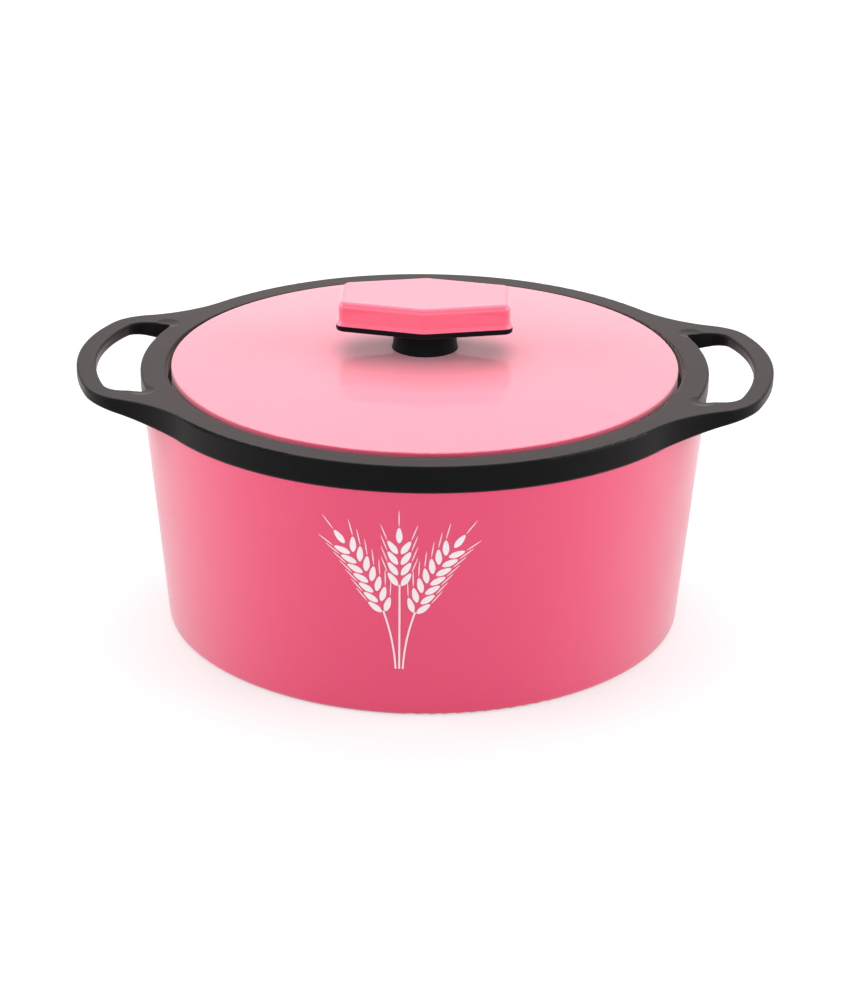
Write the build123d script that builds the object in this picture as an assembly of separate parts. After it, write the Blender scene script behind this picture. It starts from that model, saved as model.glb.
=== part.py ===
from build123d import *
from math import sqrt
import os

# An insulated chapati casserole. A tapered shell and a steel bowl hold foam between
# them, under a rim collar that carries both loop handles. The foam-filled lid drops
# into the collar and lifts off by its knob.
#
# Frame: +Z up, +X through the two handles, origin at the middle of the base.
# Sizes are in millimetres and angles in degrees.

# Clearances
FIT = 0.15              # between rigid pieces that plug into each other
FOAM_SKIN = 0.1         # between the foam and the pieces that it was poured against
LID_FLOAT = 0.3         # between the lid and what it comes to rest on

# Body shell
RIM_HEIGHT = 116.0      # from the base to the collar's flat top
COLLAR_HEIGHT = 11.6    # collar's outside wall
COLLAR_RADIUS = 125.0
COLLAR_PROUD = 0.6      # how far the collar stands out from the shell's top edge
SHELL_TAPER = 9.0       # how far the shell narrows from its top edge to its base
BASE_ROUND = 2.2
SHELL_WALL = 2.4
SHELL_FLOOR = 2.4
SHELL_INSIDE_ROUND = 4.0
FOOT_WIDTH = 6.5        # ring that the shell stands on

# Base cover, pressed into the recess inside the foot ring
BASE_COVER_RECESS = 0.8
BASE_COVER_PLATE = 1.8
BASE_COVER_SKIRT = 2.0

# Plugs that close the holes through which the foam was poured
PLUG_RADIUS = 8.0
PLUG_HEAD_RADIUS = 11.0
PLUG_HEAD = 1.2
PLUG_NOSE = 1.5         # stem standing proud of the wall on the foam's side
PLUG_ROOM = 0.2         # between the shell's plug and the base cover

# Collar
RIM_WIDTH = 11.5        # collar's flat top, from its outside in to the lid's well
WELL_DEPTH = 7.6        # from the collar's top down to its ledge
WELL_ROUND = 1.0
COLLAR_WALL = 2.5
COLLAR_LEDGE = 4.3      # thickness of the ledge under the bowl's rim
COLLAR_SKIRT_WALL = 2.0
COLLAR_SKIRT_DEPTH = 4.5
TONGUE_WALL = 2.0       # tongue that plugs into the shell
TONGUE_DEPTH = 8.0
TOP_ROUND = 1.0         # collar's and handles' top edges
EDGE_ROUND = 1.1        # their bottom edges

# Loop handles, in one piece with the collar
HANDLE_REACH = 28.2     # from the collar's outside to a handle's tip
HANDLE_HALF_WIDTH = 57.0
HANDLE_TIP_BEND = 107.0 # radius of a handle's slightly curved outer edge
HANDLE_CORNER = 24.5
HANDLE_BAR = 8.6        # width of the bar outside the hole
HANDLE_ARM = 13.0       # width of the arms beside the hole
HANDLE_BLEND = 62.0     # hollow curve where a handle leaves the collar
HOLE_CORNER = 9.0       # hole's outer corners
HOLE_ROOT_ROUND = 2.5   # hole's corners beside the collar
HANDLE_LIFT = 8.0       # rise of the underside from the collar out to the tip
HANDLE_LIFT_RUN = 59.0  # stretch along X in which it rises
HANDLE_TIP_RISE = 1.9   # rise of the top from the collar out to the tip
DIMPLE_RADIUS = 26.0    # ball that presses a dimple into each root of a handle's top
DIMPLE_DEPTH = 0.65
DIMPLE_SETBACK = 2.5    # from the collar's edge out to the dimple's middle

# Steel bowl
BOWL_SHEET = 0.6
BOWL_SETBACK = 4.5      # ledge left bare between the bowl's flange and the well's wall
BOWL_FLANGE = 6.0       # width of the flat flange round the mouth
BOWL_DEPTH = 80.0
BOWL_TAPER = 4.0        # how far the bowl narrows from its mouth to its floor
BOWL_CORNER = 15.0
BOWL_MOUTH_ROUND = 2.0
BOWL_HOOK = 2.4         # rim's turned-down edge, hooked into the collar

# Lid
LID_GAP = 2.0           # open gap all round between the lid and the collar's well
LID_EDGE_PROUD = 0.8    # lid's edge above the collar's top
LID_CROWN = 6.0         # rise of the lid's top from its edge to its middle
LID_EDGE_ROUND = 0.6
LID_WALL = 2.2
LID_PAD = 1.2           # thickening under the knob
LINER_WALL = 1.8
LINER_TONGUE_WALL = 2.0
LINER_TONGUE_HEIGHT = 3.0
LINER_GAP = 2.0         # between the liner's plug and the bowl's mouth
LINER_DEPTH = 12.0      # how far the liner reaches down into the bowl
LINER_DRAFT = 1.0
LINER_CORNER = 5.0
SEAL_HEIGHT = 3.0
SEAL_BEAD = 0.5         # bead round the liner that keeps the seal up

# Knob
NECK_RADIUS = 14.5      # at its foot and under the plate
NECK_WAIST = 13.9       # at half its height
NECK_HEIGHT = 11.7
NECK_WALL = 2.0
NECK_SEAT = 0.4         # how deep the neck sits in the lid
NECK_FLARE = 1.5
KNOB_HALF_LENGTH = 37.3
KNOB_END_HALF_WIDTH = 14.6
KNOB_HALF_WIDTH = 23.4
KNOB_CORNER = 3.6
KNOB_RIDGE_ROUND = 9.0  # soft corner in the middle of each long side
KNOB_DRAFT = 0.5
CAP_HEIGHT = 10.8
CAP_WALL = 2.4
CAP_EDGE_ROUND = 3.2
CAP_LIP = 1.1           # how far the cap's bottom edge flares out, to the size of the plate
CAP_LIP_HEIGHT = 2.0
CAP_LIP_SLOPE = 35.0
PLATE_HEIGHT = 2.6
PLATE_EDGE_ROUND = 1.0
SOCKET_WALL = 1.6       # rim on the plate that the cap is pushed over
SOCKET_HEIGHT = 4.0
SCREW_SPACING = 14.0
SCREW_RADIUS = 1.75
SCREW_LENGTH = 13.0
SCREW_HEAD_RADIUS = 3.5
SCREW_HEAD_HEIGHT = 2.4
SCREW_HEAD_ROUND = 0.9
SCREW_FIT = 0.05
SCREW_TIP_ROOM = 1.0    # pilot hole past the screw's end
BOSS_WALL = 2.0
WASHER_RADIUS = 4.6
WASHER_HEIGHT = 0.8
WASHER_FIT = 0.2

# Heights that the pieces share
shell_height = RIM_HEIGHT - COLLAR_HEIGHT
floor_under = BASE_COVER_RECESS + BASE_COVER_PLATE + PLUG_ROOM + PLUG_HEAD
floor_top = floor_under + SHELL_FLOOR
ledge = RIM_HEIGHT - WELL_DEPTH
flange_under = ledge - BOWL_SHEET
ledge_under = flange_under - COLLAR_LEDGE
skirt_end = ledge_under - COLLAR_SKIRT_DEPTH
bowl_floor = ledge - BOWL_DEPTH
liner_flange = ledge + LID_FLOAT
liner_top = liner_flange + LINER_WALL
liner_floor = liner_flange - LINER_DEPTH
lid_edge = RIM_HEIGHT + LID_EDGE_PROUD
neck_foot = lid_edge + LID_CROWN - NECK_SEAT
plate_under = neck_foot + NECK_HEIGHT
cap_under = plate_under + PLATE_HEIGHT
pad_under = lid_edge + LID_CROWN - LID_WALL - LID_PAD
washer_under = pad_under - WASHER_HEIGHT
screw_top = washer_under + SCREW_LENGTH

# Radii that the pieces share
shell_top_radius = COLLAR_RADIUS - COLLAR_PROUD
base_radius = shell_top_radius - SHELL_TAPER
foot_inside = base_radius - FOOT_WIDTH
well_radius = COLLAR_RADIUS - RIM_WIDTH
well_outside = well_radius + COLLAR_WALL
flange_radius = well_radius - BOWL_SETBACK
mouth_radius = flange_radius - BOWL_FLANGE
bowl_floor_radius = mouth_radius - BOWL_TAPER
bowl_bore = mouth_radius + BOWL_SHEET + FIT
skirt_outside = bowl_bore + COLLAR_SKIRT_WALL
lid_radius = well_radius - LID_GAP
lid_inside = lid_radius - LID_WALL
liner_radius = mouth_radius - LINER_GAP
handle_tip = COLLAR_RADIUS + HANDLE_REACH
hole_half_width = HANDLE_HALF_WIDTH - HANDLE_ARM
lift_start = handle_tip - HANDLE_LIFT_RUN


def turned(*corners):
    """Solid turned about Z from corners of (radius, height) or (radius, height, rounding)."""
    rounding = [corner[2] if len(corner) > 2 else 0 for corner in corners]
    outline = FilletPolyline(*[corner[:2] for corner in corners], radius=rounding, close=True)
    return revolve(Plane.XZ * make_face(outline), Axis.Z)


def disc(radius, low, high, x=0.0):
    """Upright cylinder between two heights."""
    return Pos(x, 0, low) * Cylinder(radius, high - low, align=(Align.CENTER, Align.CENTER, Align.MIN))


def shell_outside(height):
    """Outside radius of the tapered shell at a height."""
    return base_radius + SHELL_TAPER * height / shell_height


def shell_inside(height):
    """Inside radius of the tapered shell at a height."""
    return shell_outside(height) - SHELL_WALL


def tongue_outside(height):
    """Outside radius of the collar's tongue, which follows the shell's taper."""
    return shell_inside(height) - FIT


def crown(radius, sink=0.0):
    """Height of the lid's crowned top at a radius, or of a surface that is sink below it."""
    ball = (lid_radius**2 + LID_CROWN**2) / (2 * LID_CROWN)
    return lid_edge + LID_CROWN - ball + sqrt((ball - sink) ** 2 - radius**2)


def crowned(*corners, sink=0.0, edge_round=0.0):
    """Solid turned about Z under the lid's crown, or under a surface that is sink below it.

    The corners run from the axis outwards along the underside, and the last one is the
    foot of the side wall, which rises from there to the crown.
    """
    side = corners[-1][0]
    edge = (side, crown(side, sink))
    rounding = [corner[2] if len(corner) > 2 else 0 for corner in corners[1:]]
    below = FilletPolyline(*[corner[:2] for corner in corners], edge, radius=rounding)
    above = ThreePointArc(edge, (side / 2, crown(side / 2, sink)), (0, crown(0, sink)))
    face = make_face([below, above, Line(above @ 1, below @ 0)])
    if edge_round:
        face = fillet(face.vertices().sort_by_distance(edge)[0], edge_round)
    return revolve(Plane.XZ * face, Axis.Z)


def plug(seat, through):
    """Plug with its head's flat side on a seat height and its stem going up through a wall."""
    return turned(
        (0, seat - PLUG_HEAD),
        (PLUG_HEAD_RADIUS, seat - PLUG_HEAD, PLUG_HEAD / 3),
        (PLUG_HEAD_RADIUS, seat),
        (PLUG_RADIUS, seat),
        (PLUG_RADIUS, seat + through + PLUG_NOSE, PLUG_NOSE / 2),
        (0, seat + through + PLUG_NOSE),
    )


def outer_shell():
    """Tapered outside of the body, with its floor, foot ring and pouring hole."""
    return turned(
        (foot_inside, 0, 0.5),
        (base_radius, 0, BASE_ROUND),
        (shell_top_radius, shell_height),
        (shell_inside(shell_height), shell_height),
        (shell_inside(floor_top), floor_top, SHELL_INSIDE_ROUND),
        (PLUG_RADIUS + FIT, floor_top),
        (PLUG_RADIUS + FIT, floor_under),
        (foot_inside, floor_under),
    )


def base_cover():
    """Dished disc that hides the floor's pouring hole, inside the foot ring."""
    under = BASE_COVER_RECESS
    radius = foot_inside - FIT
    return turned(
        (0, under),
        (radius, under, 0.5),
        (radius, floor_under),
        (radius - BASE_COVER_SKIRT, floor_under),
        (radius - BASE_COVER_SKIRT, under + BASE_COVER_PLATE),
        (0, under + BASE_COVER_PLATE),
    )


def steel_bowl():
    """Pressed steel bowl with a flat flange and a turned-down edge round its mouth."""
    sheet = BOWL_SHEET
    return turned(
        (0, bowl_floor),
        (bowl_floor_radius, bowl_floor, BOWL_CORNER),
        (mouth_radius, ledge, BOWL_MOUTH_ROUND),
        (flange_radius, ledge, sheet),
        (flange_radius, ledge - BOWL_HOOK),
        (flange_radius - sheet, ledge - BOWL_HOOK),
        (flange_radius - sheet, flange_under),
        (mouth_radius + sheet, flange_under, BOWL_MOUTH_ROUND - sheet),
        (bowl_floor_radius + sheet, bowl_floor - sheet, BOWL_CORNER + sheet),
        (0, bowl_floor - sheet),
    )


def body_insulation():
    """Foam between the shell and the bowl, up into the hollow collar."""
    skin = FOAM_SKIN
    low = floor_top + skin
    tongue_end = shell_height - TONGUE_DEPTH
    tongue_inside = tongue_outside(shell_height) - TONGUE_WALL
    stem = PLUG_RADIUS + skin
    bowl_outside = bowl_floor_radius + BOWL_SHEET + skin
    bowl_under = bowl_floor - BOWL_SHEET - skin
    bowl_slope = BOWL_TAPER / BOWL_DEPTH
    return turned(
        (0, low + PLUG_NOSE),
        (stem, low + PLUG_NOSE),
        (stem, low),
        (shell_inside(low) - skin, low, SHELL_INSIDE_ROUND),
        (shell_inside(tongue_end - skin) - skin, tongue_end - skin),
        (tongue_outside(tongue_end) - TONGUE_WALL - skin, tongue_end - skin),
        (tongue_inside - skin, shell_height),
        (tongue_inside - skin, RIM_HEIGHT - COLLAR_WALL - skin),
        (well_outside + skin, RIM_HEIGHT - COLLAR_WALL - skin),
        (well_outside + skin, ledge_under - skin),
        (skirt_outside + skin, ledge_under - skin),
        (skirt_outside + skin, skirt_end - skin),
        (bowl_outside + bowl_slope * (skirt_end - bowl_floor), skirt_end - skin),
        (bowl_outside, bowl_under, BOWL_CORNER + BOWL_SHEET),
        (0, bowl_under),
    )


def loops(bar, half_width, corner):
    """Plan of both handles, from their middles out to a line bar inside their tips."""
    reach = Pos(handle_tip - HANDLE_TIP_BEND, 0) * Circle(HANDLE_TIP_BEND - bar)
    loop = reach & Pos(handle_tip / 2, 0) * Rectangle(handle_tip, 2 * half_width)
    loop = fillet(loop.vertices().group_by(Axis.X)[-1], corner)
    return loop + mirror(loop, Plane.YZ)


def handle_side():
    """Side view of the collar and both handles, between their undersides and tops."""
    end = handle_tip + EDGE_ROUND
    under = Spline((lift_start, shell_height), (end, shell_height + HANDLE_LIFT), tangents=[(1, 0), (1, 0)])
    top = TangentArc((COLLAR_RADIUS, RIM_HEIGHT), (end, RIM_HEIGHT + HANDLE_TIP_RISE), tangent=(1, 0))
    inner = Polyline(under @ 0, (0, shell_height), (0, RIM_HEIGHT), top @ 0)
    half = make_face([under, Line(under @ 1, top @ 1), top, inner])
    return Plane.XZ * (half + mirror(half, Plane.YZ))


def dimples():
    """Cutter for the shallow dimples where the arms of the handles leave the collar."""
    away = COLLAR_RADIUS + DIMPLE_SETBACK
    x = sqrt(away**2 - hole_half_width**2)
    ball = Pos(0, 0, RIM_HEIGHT - DIMPLE_DEPTH + DIMPLE_RADIUS) * Sphere(DIMPLE_RADIUS)
    return [Pos(side * x, way * hole_half_width, 0) * ball for side in (1, -1) for way in (1, -1)]


def handle_ring():
    """Collar's outside wall and both loop handles, with their edges rounded."""
    collar = Circle(COLLAR_RADIUS)
    plan = collar + loops(0, HANDLE_HALF_WIDTH, HANDLE_CORNER)
    plan = offset(offset(plan, HANDLE_BLEND), -HANDLE_BLEND)
    holes = loops(HANDLE_BAR, hole_half_width, HOLE_CORNER) - collar
    holes = offset(offset(holes, -HOLE_ROOT_ROUND), HOLE_ROOT_ROUND)
    blank = Pos(0, 0, shell_height) * extrude(plan - holes, 2 * COLLAR_HEIGHT)
    ring = blank & Pos(0, 2 * COLLAR_RADIUS, 0) * extrude(handle_side(), 4 * COLLAR_RADIUS)

    def is_rim(edge):
        along = edge % 0.5
        seam = edge.geom_type == GeomType.LINE and abs(along.Y) > 0.9
        return abs(along.Z) < 0.5 and not seam

    def is_top(edge):
        return edge.center().Z > RIM_HEIGHT - 0.01

    under = [edge for edge in ring.edges().filter_by(is_rim) if not is_top(edge)]
    ring = fillet(under, EDGE_ROUND)
    ring = fillet(ring.edges().filter_by(is_rim).filter_by(is_top), TOP_ROUND)
    return ring - dimples()


def rim_collar():
    """Collar that joins shell and bowl, with the lid's well and both loop handles."""
    core_outside = COLLAR_RADIUS - EDGE_ROUND / 2
    core_shoulder = shell_height + COLLAR_HEIGHT / 2
    hook_outside = flange_radius + FIT
    hook_inside = flange_radius - BOWL_SHEET - FIT
    tongue_top = tongue_outside(shell_height)
    tongue_end = shell_height - TONGUE_DEPTH
    core = turned(
        (core_outside, shell_height),
        (core_outside, core_shoulder),
        (tongue_top, core_shoulder),
        (tongue_top, RIM_HEIGHT),
        (well_radius, RIM_HEIGHT, WELL_ROUND),
        (well_radius, ledge),
        (hook_outside, ledge),
        (hook_outside, ledge - BOWL_HOOK - FIT),
        (hook_inside, ledge - BOWL_HOOK - FIT),
        (hook_inside, flange_under),
        (bowl_bore, flange_under, BOWL_MOUTH_ROUND - BOWL_SHEET),
        (bowl_bore, skirt_end),
        (skirt_outside, skirt_end),
        (skirt_outside, ledge_under),
        (well_outside, ledge_under),
        (well_outside, RIM_HEIGHT - COLLAR_WALL),
        (tongue_top - TONGUE_WALL, RIM_HEIGHT - COLLAR_WALL),
        (tongue_top - TONGUE_WALL, shell_height),
        (tongue_outside(tongue_end) - TONGUE_WALL, tongue_end),
        (tongue_outside(tongue_end), tongue_end),
        (tongue_top, shell_height),
    )
    bore = disc(tongue_top - TONGUE_WALL / 2, shell_height - 1, RIM_HEIGHT + 1)
    return core + (handle_ring() - bore)


def lid_cover():
    """Crowned top of the lid, with the knob's seat and screw holes."""
    cover = crowned((0, liner_top), (lid_radius, liner_top), edge_round=LID_EDGE_ROUND)
    cover -= crowned((0, liner_top - 1), (lid_inside, liner_top - 1), sink=LID_WALL)
    cover += disc(NECK_RADIUS, pad_under, neck_foot)
    cover -= disc(NECK_RADIUS + FIT, neck_foot, neck_foot + LID_CROWN)
    for x in screw_places():
        cover -= disc(SCREW_RADIUS + WASHER_FIT, pad_under - 1, neck_foot + 1, x)
    return cover


def lid_liner():
    """Underside of the lid: a flange that closes the cover and a plug that enters the bowl."""
    tongue = lid_inside - FIT
    end = liner_radius - LINER_DRAFT
    seal_end = liner_flange - SEAL_HEIGHT - FIT
    pocket = PLUG_HEAD_RADIUS + FIT
    return turned(
        (PLUG_RADIUS + FIT, liner_floor + PLUG_HEAD),
        (pocket, liner_floor + PLUG_HEAD),
        (pocket, liner_floor),
        (end, liner_floor, LINER_CORNER),
        (liner_radius, seal_end - 2 * SEAL_BEAD),
        (liner_radius + SEAL_BEAD, seal_end - SEAL_BEAD),
        (liner_radius + SEAL_BEAD, seal_end),
        (liner_radius, seal_end),
        (liner_radius, liner_flange),
        (lid_radius, liner_flange, 0.5),
        (lid_radius, liner_top),
        (tongue, liner_top),
        (tongue, liner_top + LINER_TONGUE_HEIGHT),
        (tongue - LINER_TONGUE_WALL, liner_top + LINER_TONGUE_HEIGHT),
        (tongue - LINER_TONGUE_WALL, liner_top),
        (liner_radius - LINER_WALL, liner_top),
        (end - LINER_WALL, liner_floor + LINER_WALL, LINER_CORNER - LINER_WALL),
        (pocket + LINER_WALL, liner_floor + LINER_WALL),
        (pocket + LINER_WALL, liner_floor + PLUG_HEAD + LINER_WALL),
        (PLUG_RADIUS + FIT, liner_floor + PLUG_HEAD + LINER_WALL),
    )


def lid_seal():
    """Soft ring in the corner under the liner's flange, just inside the bowl's mouth."""
    inside = liner_radius + 0.05
    outside = mouth_radius - LID_FLOAT
    low = liner_flange - SEAL_HEIGHT
    return turned(
        (inside, low),
        (outside - 0.8, low, 0.3),
        (outside, low + 0.8, 0.3),
        (outside, liner_flange - 0.8, 0.3),
        (outside - 0.8, liner_flange),
        (inside, liner_flange),
    )


def lid_insulation():
    """Foam between the lid's cover and its liner, poured round the knob's fixings."""
    skin = FOAM_SKIN
    end = liner_radius - LINER_DRAFT - LINER_WALL - skin
    tongue = lid_inside - FIT - LINER_TONGUE_WALL - skin
    pocket = PLUG_HEAD_RADIUS + FIT + LINER_WALL + skin
    low = liner_floor + LINER_WALL + skin
    foam = crowned(
        (0, low + PLUG_HEAD + PLUG_NOSE),
        (PLUG_RADIUS + skin, low + PLUG_HEAD + PLUG_NOSE),
        (PLUG_RADIUS + skin, low + PLUG_HEAD),
        (pocket, low + PLUG_HEAD),
        (pocket, low),
        (end, low, LINER_CORNER - LINER_WALL),
        (liner_radius - LINER_WALL - skin, liner_top + skin),
        (tongue, liner_top + skin),
        sink=LID_WALL + skin,
    )
    foam -= disc(NECK_RADIUS + skin, pad_under - skin, RIM_HEIGHT + LID_CROWN + LID_EDGE_PROUD)
    for x in screw_places():
        foam -= disc(WASHER_RADIUS + skin, washer_under - SCREW_HEAD_HEIGHT - skin, pad_under, x)
    return foam


def screw_places():
    """Positions of the knob's two screws along X."""
    return (-SCREW_SPACING / 2, SCREW_SPACING / 2)


def knob_plan(inset=0.0):
    """Knob's long six-sided plan, moved in by inset."""
    end = (KNOB_HALF_LENGTH, KNOB_END_HALF_WIDTH)
    ridge = (0, KNOB_HALF_WIDTH)
    corners = [end, ridge, (-end[0], end[1]), (-end[0], -end[1]), (0, -ridge[1]), (end[0], -end[1])]
    rounding = [KNOB_CORNER, KNOB_RIDGE_ROUND, KNOB_CORNER] * 2
    plan = make_face(FilletPolyline(*corners, radius=rounding, close=True))
    return offset(plan, -inset) if inset else plan


def knob_base():
    """Knob's round neck with its screw bosses, its plate and the rim that holds the cap."""
    foot, head = (NECK_RADIUS, neck_foot), (NECK_RADIUS, plate_under)
    waist = ThreePointArc(foot, (NECK_WAIST, (neck_foot + plate_under) / 2), head)
    core = Polyline(head, (0, plate_under), (0, neck_foot), foot)
    neck = revolve(Plane.XZ * make_face([waist, core]), Axis.Z)
    plate = Pos(0, 0, plate_under) * extrude(knob_plan(-CAP_LIP), PLATE_HEIGHT)
    plate = fillet(plate.edges().group_by(Axis.Z)[0], PLATE_EDGE_ROUND)
    base = plate + neck
    joint = base.edges().filter_by(GeomType.CIRCLE).filter_by_position(Axis.Z, plate_under, plate_under)
    base = fillet(joint.sort_by(Axis.Z), NECK_FLARE)
    rim = knob_plan(CAP_WALL + FIT) - knob_plan(CAP_WALL + FIT + SOCKET_WALL)
    base += Pos(0, 0, cap_under) * extrude(rim, SOCKET_HEIGHT, taper=KNOB_DRAFT)
    base -= disc(NECK_RADIUS - NECK_WALL, neck_foot - 1, plate_under - NECK_WALL)
    for x in screw_places():
        base += disc(SCREW_RADIUS + BOSS_WALL, neck_foot, plate_under, x)
    for x in screw_places():
        base -= disc(SCREW_RADIUS + SCREW_FIT, neck_foot - 1, screw_top + SCREW_TIP_ROOM, x)
    return base


def knob_cap():
    """Hollow cap of the knob, pushed over the plate's rim, with a flared bottom edge."""
    cap = extrude(knob_plan(), CAP_HEIGHT, taper=KNOB_DRAFT)
    cap = fillet(cap.edges().group_by(Axis.Z)[-1], CAP_EDGE_ROUND)
    cap += extrude(knob_plan(-CAP_LIP), CAP_LIP_HEIGHT, taper=CAP_LIP_SLOPE)
    cap -= extrude(knob_plan(CAP_WALL), CAP_HEIGHT - CAP_WALL, taper=KNOB_DRAFT)
    return Pos(0, 0, cap_under) * cap


def knob_screws():
    """Two pan-head screws that hold the knob, driven up from inside the lid."""
    screw = turned(
        (0, washer_under - SCREW_HEAD_HEIGHT),
        (SCREW_HEAD_RADIUS, washer_under - SCREW_HEAD_HEIGHT, SCREW_HEAD_ROUND),
        (SCREW_HEAD_RADIUS, washer_under),
        (SCREW_RADIUS, washer_under),
        (SCREW_RADIUS, screw_top, 0.6),
        (0, screw_top),
    )
    slot = Box(SCREW_RADIUS * 2, SCREW_HEAD_RADIUS / 4, SCREW_HEAD_HEIGHT)
    cross = Pos(0, 0, washer_under - SCREW_HEAD_HEIGHT) * (slot + Rot(0, 0, 90) * slot)
    screw -= cross
    return Compound(children=[Pos(x, 0, 0) * screw for x in screw_places()])


def knob_washers():
    """Two plain washers under the screw heads."""
    ring = disc(WASHER_RADIUS, washer_under, pad_under)
    ring -= disc(SCREW_RADIUS + WASHER_FIT, washer_under - 1, pad_under + 1)
    return Compound(children=[Pos(x, 0, 0) * ring for x in screw_places()])


def shell_plug():
    """Plug in the shell's floor."""
    return plug(floor_under, SHELL_FLOOR)


def liner_plug():
    """Plug in the liner, its head flush in a pocket."""
    return plug(liner_floor + PLUG_HEAD, LINER_WALL)


PIECES = [
    outer_shell,
    base_cover,
    shell_plug,
    body_insulation,
    steel_bowl,
    rim_collar,
    lid_cover,
    lid_liner,
    lid_seal,
    liner_plug,
    lid_insulation,
    knob_base,
    knob_cap,
    knob_screws,
    knob_washers,
]

os.makedirs("parts", exist_ok=True)
for piece in PIECES:
    export_step(piece(), f"parts/{piece.__name__}.step")
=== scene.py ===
import logging
from dataclasses import dataclass
from enum import Enum
from math import cos, pi, radians, sin

import bpy
from mathutils import Matrix, Vector


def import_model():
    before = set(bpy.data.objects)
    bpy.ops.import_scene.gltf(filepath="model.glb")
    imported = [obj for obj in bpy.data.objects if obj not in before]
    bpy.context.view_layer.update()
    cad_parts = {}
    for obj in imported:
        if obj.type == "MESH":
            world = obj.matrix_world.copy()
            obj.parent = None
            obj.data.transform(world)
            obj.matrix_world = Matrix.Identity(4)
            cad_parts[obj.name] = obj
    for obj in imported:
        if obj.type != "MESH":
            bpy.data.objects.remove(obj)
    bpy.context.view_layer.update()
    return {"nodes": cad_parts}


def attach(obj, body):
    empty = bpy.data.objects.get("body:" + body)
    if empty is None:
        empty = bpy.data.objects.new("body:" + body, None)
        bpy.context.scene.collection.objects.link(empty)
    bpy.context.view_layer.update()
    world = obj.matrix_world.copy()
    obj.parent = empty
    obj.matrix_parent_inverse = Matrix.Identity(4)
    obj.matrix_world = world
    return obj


# The looks of an insulated chapati casserole: a satin pink shell with a printed motif, a
# black rim collar with both loop handles, a spun steel bowl, and a glossy pink lid with its
# knob. Lengths are in millimetres where a name ends in _mm, and in metres elsewhere.

log = logging.getLogger("casserole")

MM = 0.001

# Sockets of a Mix node that mixes colours
MIX_SHARE, MIX_FIRST, MIX_SECOND, MIX_RESULT = 0, 6, 7, 2
# Nearly all of a noise pattern lies between these two levels
NOISE_LOW, NOISE_HIGH = 0.3, 0.7
# Turns rings per metre into the scale of a wave pattern
RINGS_TO_SCALE = 2 * pi / 20


def linear(code: str) -> tuple[float, float, float, float]:
    """Turns an sRGB hex colour into the linear colour that a shader takes.

    Args:
        code: The colour as "#RRGGBB".

    Returns:
        Red, green, blue and an alpha of 1.
    """
    shares = [int(code[start:start + 2], 16) / 255 for start in (1, 3, 5)]
    red, green, blue = [
        share / 12.92 if share <= 0.04045 else ((share + 0.055) / 1.055) ** 2.4 for share in shares
    ]
    return red, green, blue, 1.0


def add_node(
    tree: bpy.types.NodeTree,
    kind: str,
    settings: dict[str | int, object] | None = None,
    links: dict[str | int, bpy.types.NodeSocket] | None = None,
) -> bpy.types.Node:
    """Adds one node to a tree, with its settings and its links.

    Args:
        tree: The material's or the world's node tree.
        kind: The node's type, such as "ShaderNodeTexNoise".
        settings: Values by the name or number of an input, or by the name of a property.
        links: The outputs that feed the node, by the name or number of its input.

    Returns:
        The new node.
    """
    node = tree.nodes.new(kind)
    for name, value in (settings or {}).items():
        if isinstance(name, int) or name in node.inputs.keys():
            node.inputs[name].default_value = value
        else:
            setattr(node, name, value)
    for name, source in (links or {}).items():
        tree.links.new(source, node.inputs[name])
    return node


def per_metre(size_mm: float) -> float:
    """Scale of a noise pattern whose features are a given size in millimetres."""
    return 1 / (size_mm * MM)


class MouldFace(Enum):
    """How the steel mould was finished, which moulded plastic copies.

    Each value is the plastic's roughness, the grain's size in millimetres and its depth in
    millimetres. A real grain of 0.3 mm is too fine to show, so the grains are drawn coarser.
    The polished face has its gloss from the coat, over plastic that scatters widely.
    """

    POLISHED = (0.55, 2.5, 0.0005)
    SATIN = (0.42, 1.3, 0.0040)
    ETCHED = (0.48, 1.1, 0.0080)

    @property
    def roughness(self) -> float:
        """Roughness of the plastic."""
        return self.value[0]

    @property
    def grain_mm(self) -> float:
        """Size of the grain."""
        return self.value[1]

    @property
    def grain_depth_mm(self) -> float:
        """Depth of the grain."""
        return self.value[2]


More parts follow.
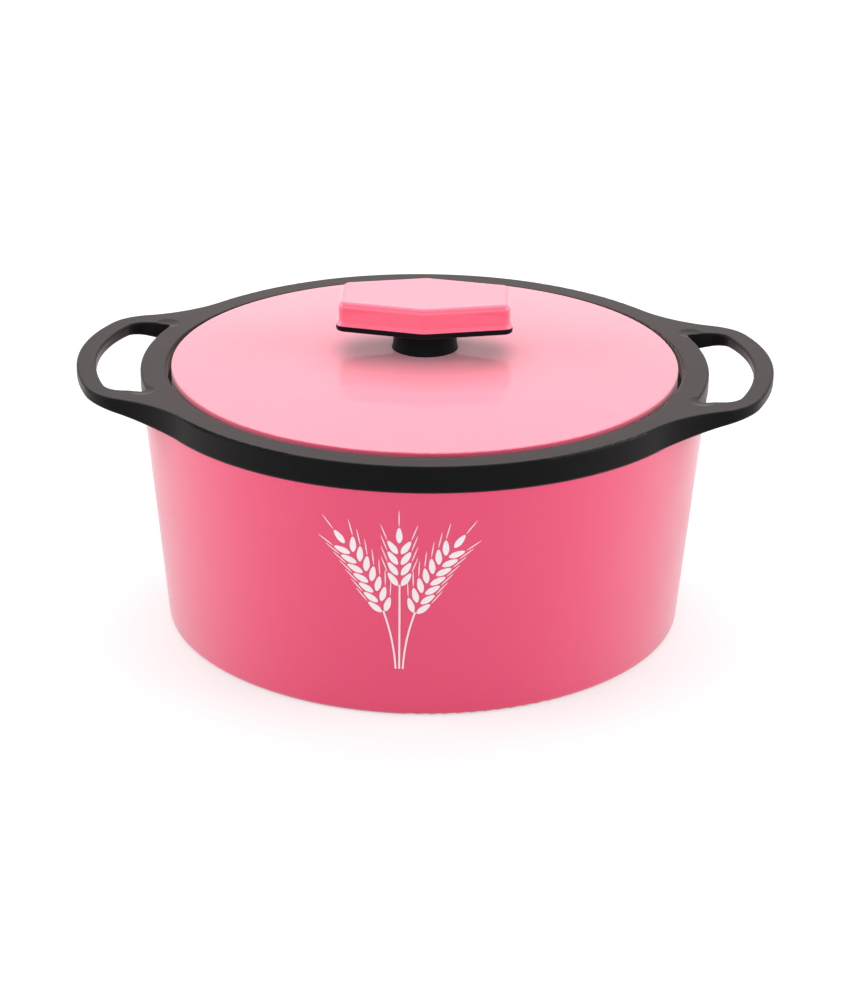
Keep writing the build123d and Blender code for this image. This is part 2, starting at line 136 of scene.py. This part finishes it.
@dataclass(frozen=True)
class Finish:
    """What every finish has: two colours that drift into each other, and an uneven roughness."""

    name: str
    colour: str
    drift: str
    drift_mm: float = 40.0
    smudges_per_drift: float = 3.0
    roughness: float = 0.4
    roughness_spread: float = 0.03
    ior: float = 1.5
    metallic: float = 0.0
    specular: float = 0.5
    coat: float = 0.0
    coat_roughness: float = 0.03
    sheen: float = 0.0
    sheen_roughness: float = 0.3
    sheen_tint: str = "#FFFFFF"

    def build(self) -> bpy.types.Material:
        """Makes the material.

        Returns:
            A new material whose patterns lie on Object coordinates.
        """
        material = bpy.data.materials.new(self.name)
        material.use_nodes = True
        tree = material.node_tree
        tree.nodes.clear()
        place = add_node(tree, "ShaderNodeTexCoord").outputs["Object"]
        cloud = add_node(
            tree,
            "ShaderNodeTexNoise",
            {"Scale": per_metre(self.drift_mm), "Detail": 3.0},
            {"Vector": place},
        )
        tint = add_node(
            tree,
            "ShaderNodeMix",
            {"data_type": "RGBA", MIX_FIRST: linear(self.colour), MIX_SECOND: linear(self.drift)},
            {MIX_SHARE: cloud.outputs["Fac"]},
        )
        smudge = add_node(
            tree,
            "ShaderNodeTexNoise",
            {"Scale": per_metre(self.drift_mm / self.smudges_per_drift), "Detail": 4.0},
            {"Vector": place},
        )
        uneven = add_node(
            tree,
            "ShaderNodeMapRange",
            {"From Min": NOISE_LOW, "From Max": NOISE_HIGH,
             "To Min": self.roughness - self.roughness_spread,
             "To Max": self.roughness + self.roughness_spread},
            {"Value": smudge.outputs["Fac"]},
        )
        shader = add_node(
            tree,
            "ShaderNodeBsdfPrincipled",
            {"IOR": self.ior, "Metallic": self.metallic, "Specular IOR Level": self.specular,
             "Coat Weight": self.coat, "Coat Roughness": self.coat_roughness,
             "Sheen Weight": self.sheen, "Sheen Roughness": self.sheen_roughness,
             "Sheen Tint": linear(self.sheen_tint)},
            {"Base Color": tint.outputs[MIX_RESULT], "Roughness": uneven.outputs["Result"]},
        )
        add_node(tree, "ShaderNodeOutputMaterial", None, {"Surface": shader.outputs["BSDF"]})
        self.relief(tree, place, shader)
        return material

    def relief(
        self, tree: bpy.types.NodeTree, place: bpy.types.NodeSocket, shader: bpy.types.Node
    ) -> None:
        """Adds the surface's own relief. A plain finish has none.

        Args:
            tree: The material's node tree.
            place: Object coordinates.
            shader: The Principled shader that takes the relief.
        """


@dataclass(frozen=True)
class MouldedPlastic(Finish):
    """Plastic from an injection mould, with its grain and faint sinks over thick places."""

    face: MouldFace = MouldFace.SATIN
    sink_mm: float = 45.0
    sink_depth_mm: float = 0.012

    def relief(
        self, tree: bpy.types.NodeTree, place: bpy.types.NodeSocket, shader: bpy.types.Node
    ) -> None:
        """Adds the mould's grain over a shallow unevenness.

        Args:
            tree: The material's node tree.
            place: Object coordinates.
            shader: The Principled shader that takes the relief.
        """
        sink = add_node(
            tree,
            "ShaderNodeTexNoise",
            {"Scale": per_metre(self.sink_mm), "Detail": 1.0},
            {"Vector": place},
        )
        wave = add_node(
            tree,
            "ShaderNodeBump",
            {"Strength": 1.0, "Distance": self.sink_depth_mm * MM},
            {"Height": sink.outputs["Fac"]},
        )
        grain = add_node(
            tree,
            "ShaderNodeTexNoise",
            {"Scale": per_metre(self.face.grain_mm), "Detail": 2.0},
            {"Vector": place},
        )
        skin = add_node(
            tree,
            "ShaderNodeBump",
            {"Strength": 1.0, "Distance": self.face.grain_depth_mm * MM},
            {"Height": grain.outputs["Fac"], "Normal": wave.outputs["Normal"]},
        )
        tree.links.new(skin.outputs["Normal"], shader.inputs["Normal"])


@dataclass(frozen=True)
class SpunSteel(Finish):
    """Stainless sheet that was spun and polished, with fine rings round the bowl's axis."""

    ring_mm: float = 1.6
    ring_depth_mm: float = 0.004
    wander: float = 1.2
    spin: float = 0.5

    def relief(
        self, tree: bpy.types.NodeTree, place: bpy.types.NodeSocket, shader: bpy.types.Node
    ) -> None:
        """Adds the polishing rings and the stretch that they give to highlights.

        Args:
            tree: The material's node tree.
            place: Object coordinates.
            shader: The Principled shader that takes the relief.
        """
        rings = add_node(
            tree,
            "ShaderNodeTexWave",
            {"wave_type": "RINGS", "rings_direction": "Z",
             "Scale": RINGS_TO_SCALE * per_metre(self.ring_mm),
             "Distortion": self.wander, "Detail": 3.0, "Detail Scale": 2.0},
            {"Vector": place},
        )
        lines = add_node(
            tree,
            "ShaderNodeBump",
            {"Strength": 1.0, "Distance": self.ring_depth_mm * MM},
            {"Height": rings.outputs["Fac"]},
        )
        round_axis = add_node(tree, "ShaderNodeTangent", {"direction_type": "RADIAL", "axis": "Z"})
        shader.inputs["Anisotropic"].default_value = self.spin
        tree.links.new(round_axis.outputs["Tangent"], shader.inputs["Tangent"])
        tree.links.new(lines.outputs["Normal"], shader.inputs["Normal"])


@dataclass(frozen=True)
class GrainedSurface(Finish):
    """A surface with one even grain: cells of foam, dull rubber, plating or a layer of ink."""

    grain_mm: float = 1.2
    grain_depth_mm: float = 0.02
    cells: bool = False

    def relief(
        self, tree: bpy.types.NodeTree, place: bpy.types.NodeSocket, shader: bpy.types.Node
    ) -> None:
        """Adds the grain, as round cells or as soft noise.

        Args:
            tree: The material's node tree.
            place: Object coordinates.
            shader: The Principled shader that takes the relief.
        """
        scale = {"Scale": per_metre(self.grain_mm)}
        kind, output = (
            ("ShaderNodeTexVoronoi", "Distance") if self.cells else ("ShaderNodeTexNoise", "Fac")
        )
        height = add_node(tree, kind, scale, {"Vector": place}).outputs[output]
        grain = add_node(
            tree,
            "ShaderNodeBump",
            {"Strength": 1.0, "Distance": self.grain_depth_mm * MM},
            {"Height": height},
        )
        tree.links.new(grain.outputs["Normal"], shader.inputs["Normal"])


# Polypropylene shell from a sand-blasted mould: a satin pink that brightens towards its sides
SHELL_PLASTIC = MouldedPlastic(
    "satin_polypropylene", "#E82F66", "#E93269", roughness=MouldFace.SATIN.roughness,
    ior=1.6, sheen=0.8, sheen_roughness=0.5, face=MouldFace.SATIN,
)
# ABS lid and cap from a polished mould: a soft glow in the plastic under a mirror-smooth skin
LID_PLASTIC = MouldedPlastic(
    "polished_abs", "#E8446B", "#E9476E", roughness=MouldFace.POLISHED.roughness,
    roughness_spread=0.02, ior=1.53, specular=0.7, coat=0.7, coat_roughness=0.03,
    sheen=0.5, sheen_roughness=0.6, face=MouldFace.POLISHED,
)
# Black glass-filled nylon from an etched mould: dull black with a wide grey sheen on flat tops
COLLAR_PLASTIC = MouldedPlastic(
    "etched_black_nylon", "#0A0A0B", "#0E0E0F", roughness=MouldFace.ETCHED.roughness,
    ior=1.52, specular=0.05, sheen=0.30, sheen_roughness=0.4, sheen_tint="#FFEDEB",
    face=MouldFace.ETCHED,
)
# The same nylon from a smoother mould for the knob's neck and plate
KNOB_PLASTIC = MouldedPlastic(
    "satin_black_nylon", "#0B0D10", "#0F1114", roughness=MouldFace.SATIN.roughness,
    ior=1.52, specular=0.04, sheen=0.1, sheen_roughness=0.4, face=MouldFace.SATIN,
)
# Polypropylene plugs from a plain turned mould: dull and a little darker than the shell
PLUG_PLASTIC = MouldedPlastic(
    "plain_polypropylene", "#D23A63", "#D74069", roughness=0.5, face=MouldFace.ETCHED
)
# Stainless steel sheet, spun and polished: bright, with fine rings round the bowl
BOWL_STEEL = SpunSteel("spun_stainless_steel", "#C9C8C5", "#C2C2C1", roughness=0.2, metallic=1.0)
# Zinc-plated steel: bright grey with a faint blue cast and a fine crystalline dullness
SCREW_STEEL = GrainedSurface(
    "zinc_plated_steel", "#C6C9CF", "#B9BFC9", drift_mm=3.0, roughness=0.32, metallic=1.0,
    grain_mm=0.5, grain_depth_mm=0.002,
)
# Moulded silicone rubber: milky, soft and dull
SEAL_SILICONE = GrainedSurface(
    "milky_silicone_rubber", "#DAD9D3", "#D2D1CB", roughness=0.55, ior=1.41,
    grain_mm=0.8, grain_depth_mm=0.006,
)
# Rigid polyurethane foam: straw-coloured, with small closed cells
FOAM = GrainedSurface(
    "rigid_polyurethane_foam", "#EBDBA8", "#DFC98F", drift_mm=18.0, roughness=0.85,
    grain_mm=1.5, grain_depth_mm=0.4, cells=True,
)
# Pad-printed ink: an even white film with the faint mesh of the silicone pad
PRINT_INK = GrainedSurface(
    "pad_printed_white_ink", "#FBF7F8", "#F6EFF1", drift_mm=12.0, roughness=0.45,
    grain_mm=0.8, grain_depth_mm=0.004,
)


def dress(nodes: dict[str, bpy.types.Object], name: str, material: bpy.types.Material) -> None:
    """Gives a node of the frame its finish.

    Args:
        nodes: The frame's nodes by name.
        name: The node to dress.
        material: Its finish.
    """
    for holder in nodes[name].material_slots:
        holder.material = material
    log.info("%s is %s", name, material.name)


def only(*pieces: bpy.types.Object) -> None:
    """Selects these pieces and nothing else.

    Args:
        pieces: The pieces, of which the first becomes the active one.
    """
    bpy.ops.object.select_all(action="DESELECT")
    for piece in pieces:
        piece.select_set(True)
    bpy.context.view_layer.objects.active = pieces[0]


@dataclass(frozen=True)
class Ear:
    """One ear of wheat in the print, on a stem that bends in an even arc.

    The drawing lies in the XZ plane and is in metres. Angles lean to the left of upright. The
    stem starts at foot along X, leans by lean there and by bend more at its tip, and is bare
    up to the first grains.
    """

    foot: float
    lean: float
    bend: float
    length: float
    bare: float

    @property
    def radius(self) -> float:
        """Radius of the stem's arc, below zero where it bends to the right."""
        return self.length / self.bend

    def hub(self) -> tuple[float, float]:
        """Centre of the stem's arc, along X and up from the stem's foot."""
        return self.foot - self.radius * cos(self.lean), -self.radius * sin(self.lean)

    def at(self, along: float) -> tuple[float, float, float]:
        """Follows the stem.

        Args:
            along: The distance from its foot.

        Returns:
            The place along X and up, and the lean there.
        """
        lean = self.lean + along / self.radius
        middle, height = self.hub()
        return middle + self.radius * cos(lean), height + self.radius * sin(lean), lean


@dataclass
class WheatPrint:
    """Sheaf of three ears of wheat, pad-printed in white on the front of the shell.

    It is drawn flat in front of the shell and then pressed onto it. The grains of a row stand
    far enough apart that their films don't overlap.
    """

    nodes: dict[str, bpy.types.Object]
    left_ear: Ear = Ear(-1.5 * MM, radians(3), radians(37), 66 * MM, 27 * MM)
    right_ear: Ear = Ear(1.5 * MM, radians(-3), radians(-37), 66 * MM, 27 * MM)
    middle_ear: Ear = Ear(0.0, radians(-0.5), radians(1.0), 63 * MM, 39 * MM)
    middle: float = -5.8 * MM
    foot_height: float = 23.0 * MM
    away: float = -0.2
    stem_width: float = 0.75 * MM
    stem_steps: int = 30
    blade_corners: int = 24
    belly_height: float = 0.35
    pinch: float = 0.45
    pinched_width: float = 0.93
    grain_length: float = 7.0 * MM
    grain_width: float = 2.6 * MM
    grain_step: float = 4.9 * MM
    grain_lean: float = radians(34)
    grain_offset: float = 0.75 * MM
    awn_length: float = 7.5 * MM
    awn_width: float = 0.42 * MM
    awn_gap: float = 0.5 * MM
    awn_lean_share: float = 0.6
    clearance: float = 0.05 * MM
    film: float = 0.03 * MM
    smooth_below: float = radians(30)

    def blade(self, name: str, length: float, width: float) -> bpy.types.Object:
        """Models a flat leaf-shaped blade that stands on the origin.

        Args:
            name: The blade's name.
            length: Its length, up along Z.
            width: Its widest.

        Returns:
            The blade, a disc drawn out in length and pinched away from its belly.
        """
        bpy.ops.object.select_all(action="DESELECT")
        bpy.ops.mesh.primitive_circle_add(
            vertices=self.blade_corners,
            radius=0.5,
            fill_type="TRIFAN",
            location=(0.0, 0.0, 0.5),
            rotation=(pi / 2, 0.0, 0.0),
        )
        blade = bpy.context.active_object
        blade.name = name
        bpy.ops.object.transform_apply(location=True, rotation=True, scale=True)
        for corner in blade.data.vertices:
            height = corner.co.z
            share = 1.0 - self.pinch * abs(height - self.belly_height)
            corner.co.x *= width * share / self.pinched_width
            corner.co.z = height * length
        return blade

    def stem(self, ear: Ear) -> bpy.types.Object:
        """Models a stem by spinning the upper edge of a small square round the arc's centre.

        Args:
            ear: The ear that the stem carries.

        Returns:
            The stem, a narrow curved strip.
        """
        bpy.ops.object.select_all(action="DESELECT")
        bpy.ops.mesh.primitive_plane_add(
            size=self.stem_width,
            location=(ear.foot, 0.0, 0.0),
            rotation=(pi / 2, -ear.lean, 0.0),
        )
        stem = bpy.context.active_object
        bpy.ops.object.transform_apply(location=True, rotation=True, scale=True)
        bpy.ops.object.mode_set(mode="EDIT")
        bpy.ops.mesh.select_mode(type="EDGE")
        bpy.ops.mesh.select_all(action="DESELECT")
        bpy.ops.object.mode_set(mode="OBJECT")
        corners = stem.data.vertices
        upper = max(
            stem.data.edges, key=lambda edge: sum(corners[end].co.z for end in edge.vertices)
        )
        upper.select = True
        bpy.ops.object.mode_set(mode="EDIT")
        middle, height = ear.hub()
        bpy.ops.mesh.spin(
            steps=self.stem_steps,
            angle=ear.bend * ear.bare / ear.length,
            center=(middle, 0.0, height),
            axis=(0.0, 1.0, 0.0),
        )
        bpy.ops.object.mode_set(mode="OBJECT")
        return stem

    def place(
        self, pattern: bpy.types.Object, across: float, height: float, lean: float
    ) -> bpy.types.Object:
        """Copies a blade to a place in the drawing.

        Args:
            pattern: The blade to copy, with a mesh of its own for the copy.
            across: Where its foot goes along X.
            height: Where its foot goes above the sheaf's foot.
            lean: How far it leans to the left.

        Returns:
            The copy.
        """
        only(pattern)
        bpy.ops.object.duplicate()
        copy = bpy.context.active_object
        copy.location = (across, 0.0, height)
        copy.rotation_euler = (0.0, -lean, 0.0)
        return copy

    def ear(
        self, ear: Ear, grain: bpy.types.Object, awn: bpy.types.Object
    ) -> list[bpy.types.Object]:
        """Lays out one ear: its stem, pairs of grains, a last grain on the tip, and awns.

        Args:
            ear: The ear's arc.
            grain: The blade that is one grain.
            awn: The thin blade that is one awn.

        Returns:
            All the pieces of the ear.
        """
        pieces = [self.stem(ear)]
        along = ear.bare
        spots = []
        while along < ear.length - self.grain_length:
            spots += [(along, 1), (along, -1)]
            along += self.grain_step
        spots.append((along, 0))
        for along, side in spots:
            across, height, lean = ear.at(along)
            across -= side * self.grain_offset * cos(lean)
            height -= side * self.grain_offset * sin(lean)
            turn = lean + side * self.grain_lean
            pieces.append(self.place(grain, across, height, turn))
            reach = self.grain_length + self.awn_gap
            tip = (across - reach * sin(turn), height + reach * cos(turn))
            awn_lean = lean + side * self.grain_lean * self.awn_lean_share
            pieces.append(self.place(awn, *tip, awn_lean))
        return pieces

    def draw(self) -> bpy.types.Object:
        """Draws the sheaf flat, in front of its place on the shell.

        Returns:
            One flat mesh of all stems, grains and awns, whose faces look away from the shell.
        """
        grain = self.blade("grain", self.grain_length, self.grain_width)
        awn = self.blade("awn", self.awn_length, self.awn_width)
        ears = (self.left_ear, self.right_ear, self.middle_ear)
        pieces = [piece for ear in ears for piece in self.ear(ear, grain, awn)]
        only(grain, awn)
        bpy.ops.object.delete()
        only(*pieces)
        bpy.ops.object.join()
        sheaf = bpy.context.active_object
        sheaf.name = "wheat_print"
        sheaf.data.name = "wheat_print"
        bpy.ops.object.transform_apply(location=True, rotation=True, scale=True)
        bpy.ops.object.mode_set(mode="EDIT")
        bpy.ops.mesh.select_all(action="SELECT")
        bpy.ops.transform.translate(value=(self.middle, self.away, self.foot_height))
        bpy.ops.mesh.select_all(action="DESELECT")
        bpy.ops.object.mode_set(mode="OBJECT")
        for face in sheaf.data.polygons:
            face.select = face.normal.y > 0
        bpy.ops.object.mode_set(mode="EDIT")
        bpy.ops.mesh.select_mode(type="FACE")
        bpy.ops.mesh.flip_normals()
        bpy.ops.object.mode_set(mode="OBJECT")
        return sheaf

    def press(self, sheaf: bpy.types.Object) -> None:
        """Presses the flat sheaf onto the shell and gives the film its thickness.

        Args:
            sheaf: The flat sheaf.
        """
        wrap = sheaf.modifiers.new("wrap", "SHRINKWRAP")
        wrap.target = self.nodes["outer_shell"]
        wrap.wrap_method = "PROJECT"
        wrap.use_project_y = True
        wrap.offset = self.clearance
        thicken = sheaf.modifiers.new("film", "SOLIDIFY")
        thicken.thickness = self.film
        thicken.offset = 1.0
        for name in ("wrap", "film"):
            bpy.ops.object.modifier_apply(modifier=name)
        bpy.ops.object.shade_smooth_by_angle(angle=self.smooth_below)

    def build(self) -> None:
        """Makes the print and fixes it to the body."""
        sheaf = self.draw()
        self.press(sheaf)
        sheaf.data.materials.append(PRINT_INK.build())
        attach(sheaf, "casserole")
        log.info("%s has %d faces", sheaf.name, len(sheaf.data.polygons))


@dataclass
class Body:
    """Shell, collar, bowl and foam, with the print: the part that stands on the table."""

    nodes: dict[str, bpy.types.Object]

    def dress(self) -> None:
        """Gives each piece of the body its finish."""
        shell = SHELL_PLASTIC.build()
        dress(self.nodes, "outer_shell", shell)
        dress(self.nodes, "base_cover", shell)
        dress(self.nodes, "shell_plug", PLUG_PLASTIC.build())
        dress(self.nodes, "body_insulation", FOAM.build())
        dress(self.nodes, "steel_bowl", BOWL_STEEL.build())
        dress(self.nodes, "rim_collar", COLLAR_PLASTIC.build())
        WheatPrint(self.nodes).build()


@dataclass
class Lid:
    """Foam-filled lid with its seal."""

    nodes: dict[str, bpy.types.Object]

    def dress(self) -> None:
        """Gives each piece of the lid its finish."""
        dress(self.nodes, "lid_cover", LID_PLASTIC.build())
        dress(self.nodes, "lid_liner", SHELL_PLASTIC.build())
        dress(self.nodes, "lid_seal", SEAL_SILICONE.build())
        dress(self.nodes, "liner_plug", PLUG_PLASTIC.build())
        dress(self.nodes, "lid_insulation", FOAM.build())


@dataclass
class Knob:
    """Knob on the lid, with its screws and washers."""

    nodes: dict[str, bpy.types.Object]

    def dress(self) -> None:
        """Gives each piece of the knob its finish."""
        steel = SCREW_STEEL.build()
        dress(self.nodes, "knob_base", KNOB_PLASTIC.build())
        dress(self.nodes, "knob_cap", LID_PLASTIC.build())
        dress(self.nodes, "knob_screws", steel)
        dress(self.nodes, "knob_washers", steel)


@dataclass(frozen=True)
class Lamp:
    """A soft panel of light that faces the casserole."""

    name: str
    place: tuple[float, float, float]
    width: float
    height: float
    radiance: float
    target: tuple[float, float, float] = (0.0, 0.0, 0.08)

    def build(self) -> None:
        """Hangs the panel in the studio."""
        data = bpy.data.lights.new(self.name, "AREA")
        data.shape = "RECTANGLE"
        data.size = self.width
        data.size_y = self.height
        data.energy = self.radiance * pi * self.width * self.height
        panel = bpy.data.objects.new(self.name, data)
        bpy.context.scene.collection.objects.link(panel)
        panel.location = self.place
        towards = Vector(self.target) - Vector(self.place)
        panel.rotation_euler = towards.to_track_quat("-Z", "Y").to_euler()
        panel.visible_camera = False


@dataclass
class Studio:
    """Floor, lamps, world and camera."""

    floor_size: float = 14.0
    floor_colour: str = "#BCBCBC"
    floor_lift: float = 0.47
    ambient: float = 0.25
    background: float = 1.0
    azimuth: float = radians(1.8)
    elevation: float = radians(22.80)
    roll: float = radians(0.51)
    distance: float = 1.1734
    aim: tuple[float, float, float] = (0.0006, 0.0, 0.05045)
    sensor_mm: float = 36.0
    lens_mm: float = 94.07
    sight: float = 50.0

    def lamps(self) -> list[Lamp]:
        """The studio's soft panels.

        Returns:
            One panel above, one high behind, one on each side and one in front.
        """
        return [
            Lamp("panel_above", (0.0, -0.1, 1.7), 1.8, 1.4, 1.6),
            Lamp("panel_behind", (0.0, 1.05, 1.6), 2.4, 1.2, 3.4),
            Lamp("panel_left", (-1.5, -0.2, 0.68), 1.4, 0.7, 4.8),
            Lamp("panel_right", (1.5, -0.2, 0.68), 1.4, 0.7, 4.8),
            Lamp("panel_front", (0.0, -2.4, 0.8), 3.0, 1.2, 2.1),
        ]

    def build(self) -> None:
        """Sets up the whole studio."""
        self.build_floor()
        for lamp in self.lamps():
            lamp.build()
        self.build_world()
        self.build_camera()

    def seen_directly(self, tree: bpy.types.NodeTree) -> bpy.types.NodeSocket:
        """Tells rays from the camera, a reflection or a clear piece from those that carry light.

        Args:
            tree: The floor's or the world's node tree.

        Returns:
            An output that is 1 for a ray that shows the background, and 0 for the others.
        """
        path = add_node(tree, "ShaderNodeLightPath").outputs
        mirrored = add_node(
            tree,
            "ShaderNodeMath",
            {"operation": "MAXIMUM"},
            {0: path["Is Glossy Ray"], 1: path["Is Transmission Ray"]},
        )
        shown = add_node(
            tree,
            "ShaderNodeMath",
            {"operation": "MAXIMUM"},
            {0: path["Is Camera Ray"], 1: mirrored.outputs["Value"]},
        )
        return shown.outputs["Value"]

    def build_floor(self) -> None:
        """Lays a pale paper floor that shows white and keeps the casserole's shadow."""
        bpy.ops.object.select_all(action="DESELECT")
        bpy.ops.mesh.primitive_plane_add(size=self.floor_size)
        floor = bpy.context.active_object
        floor.name = "studio_floor"
        material = bpy.data.materials.new("studio_paper")
        material.use_nodes = True
        tree = material.node_tree
        tree.nodes.clear()
        paper = add_node(tree, "ShaderNodeBsdfDiffuse", {"Color": linear(self.floor_colour)})
        lift = add_node(
            tree,
            "ShaderNodeMath",
            {"operation": "MULTIPLY", 1: self.floor_lift},
            {0: self.seen_directly(tree)},
        )
        glow = add_node(tree, "ShaderNodeEmission", None, {"Strength": lift.outputs["Value"]})
        both = add_node(
            tree,
            "ShaderNodeAddShader",
            None,
            {0: paper.outputs["BSDF"], 1: glow.outputs["Emission"]},
        )
        add_node(tree, "ShaderNodeOutputMaterial", None, {"Surface": both.outputs["Shader"]})
        floor.data.materials.append(material)

    def build_world(self) -> None:
        """Fills the studio with even light, under a white background."""
        world = bpy.data.worlds.new("studio_air")
        bpy.context.scene.world = world
        world.use_nodes = True
        tree = world.node_tree
        tree.nodes.clear()
        level = add_node(
            tree,
            "ShaderNodeMapRange",
            {"To Min": self.ambient, "To Max": self.background},
            {"Value": self.seen_directly(tree)},
        )
        air = add_node(tree, "ShaderNodeBackground", None, {"Strength": level.outputs["Result"]})
        add_node(tree, "ShaderNodeOutputWorld", None, {"Surface": air.outputs["Background"]})

    def build_camera(self) -> None:
        """Sets up the camera in front of the casserole, a little above it."""
        turn, rise = self.azimuth, self.elevation
        back = Vector((sin(turn) * cos(rise), -cos(turn) * cos(rise), sin(rise)))
        level_right = Vector((cos(turn), sin(turn), 0.0))
        level_up = back.cross(level_right)
        right = level_right * cos(self.roll) + level_up * sin(self.roll)
        up = level_up * cos(self.roll) - level_right * sin(self.roll)
        data = bpy.data.cameras.new("camera")
        data.sensor_fit = "VERTICAL"
        data.sensor_height = self.sensor_mm
        data.lens = self.lens_mm
        data.clip_end = self.sight
        camera = bpy.data.objects.new("camera", data)
        bpy.context.scene.collection.objects.link(camera)
        place = Vector(self.aim) + back * self.distance
        facing = Matrix((right, up, back)).transposed().to_4x4()
        camera.matrix_world = Matrix.Translation(place) @ facing
        bpy.context.scene.camera = camera


def main() -> None:
    """Dresses the casserole and sets up its studio."""
    logging.basicConfig(level=logging.INFO, format="%(name)s: %(message)s")
    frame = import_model()
    for part in (Body(frame["nodes"]), Lid(frame["nodes"]), Knob(frame["nodes"])):
        part.dress()
        log.info("%s is finished", type(part).__name__)
    Studio().build()
    bpy.context.scene.view_settings.view_transform = "Standard"


if __name__ == "__main__":
    main()
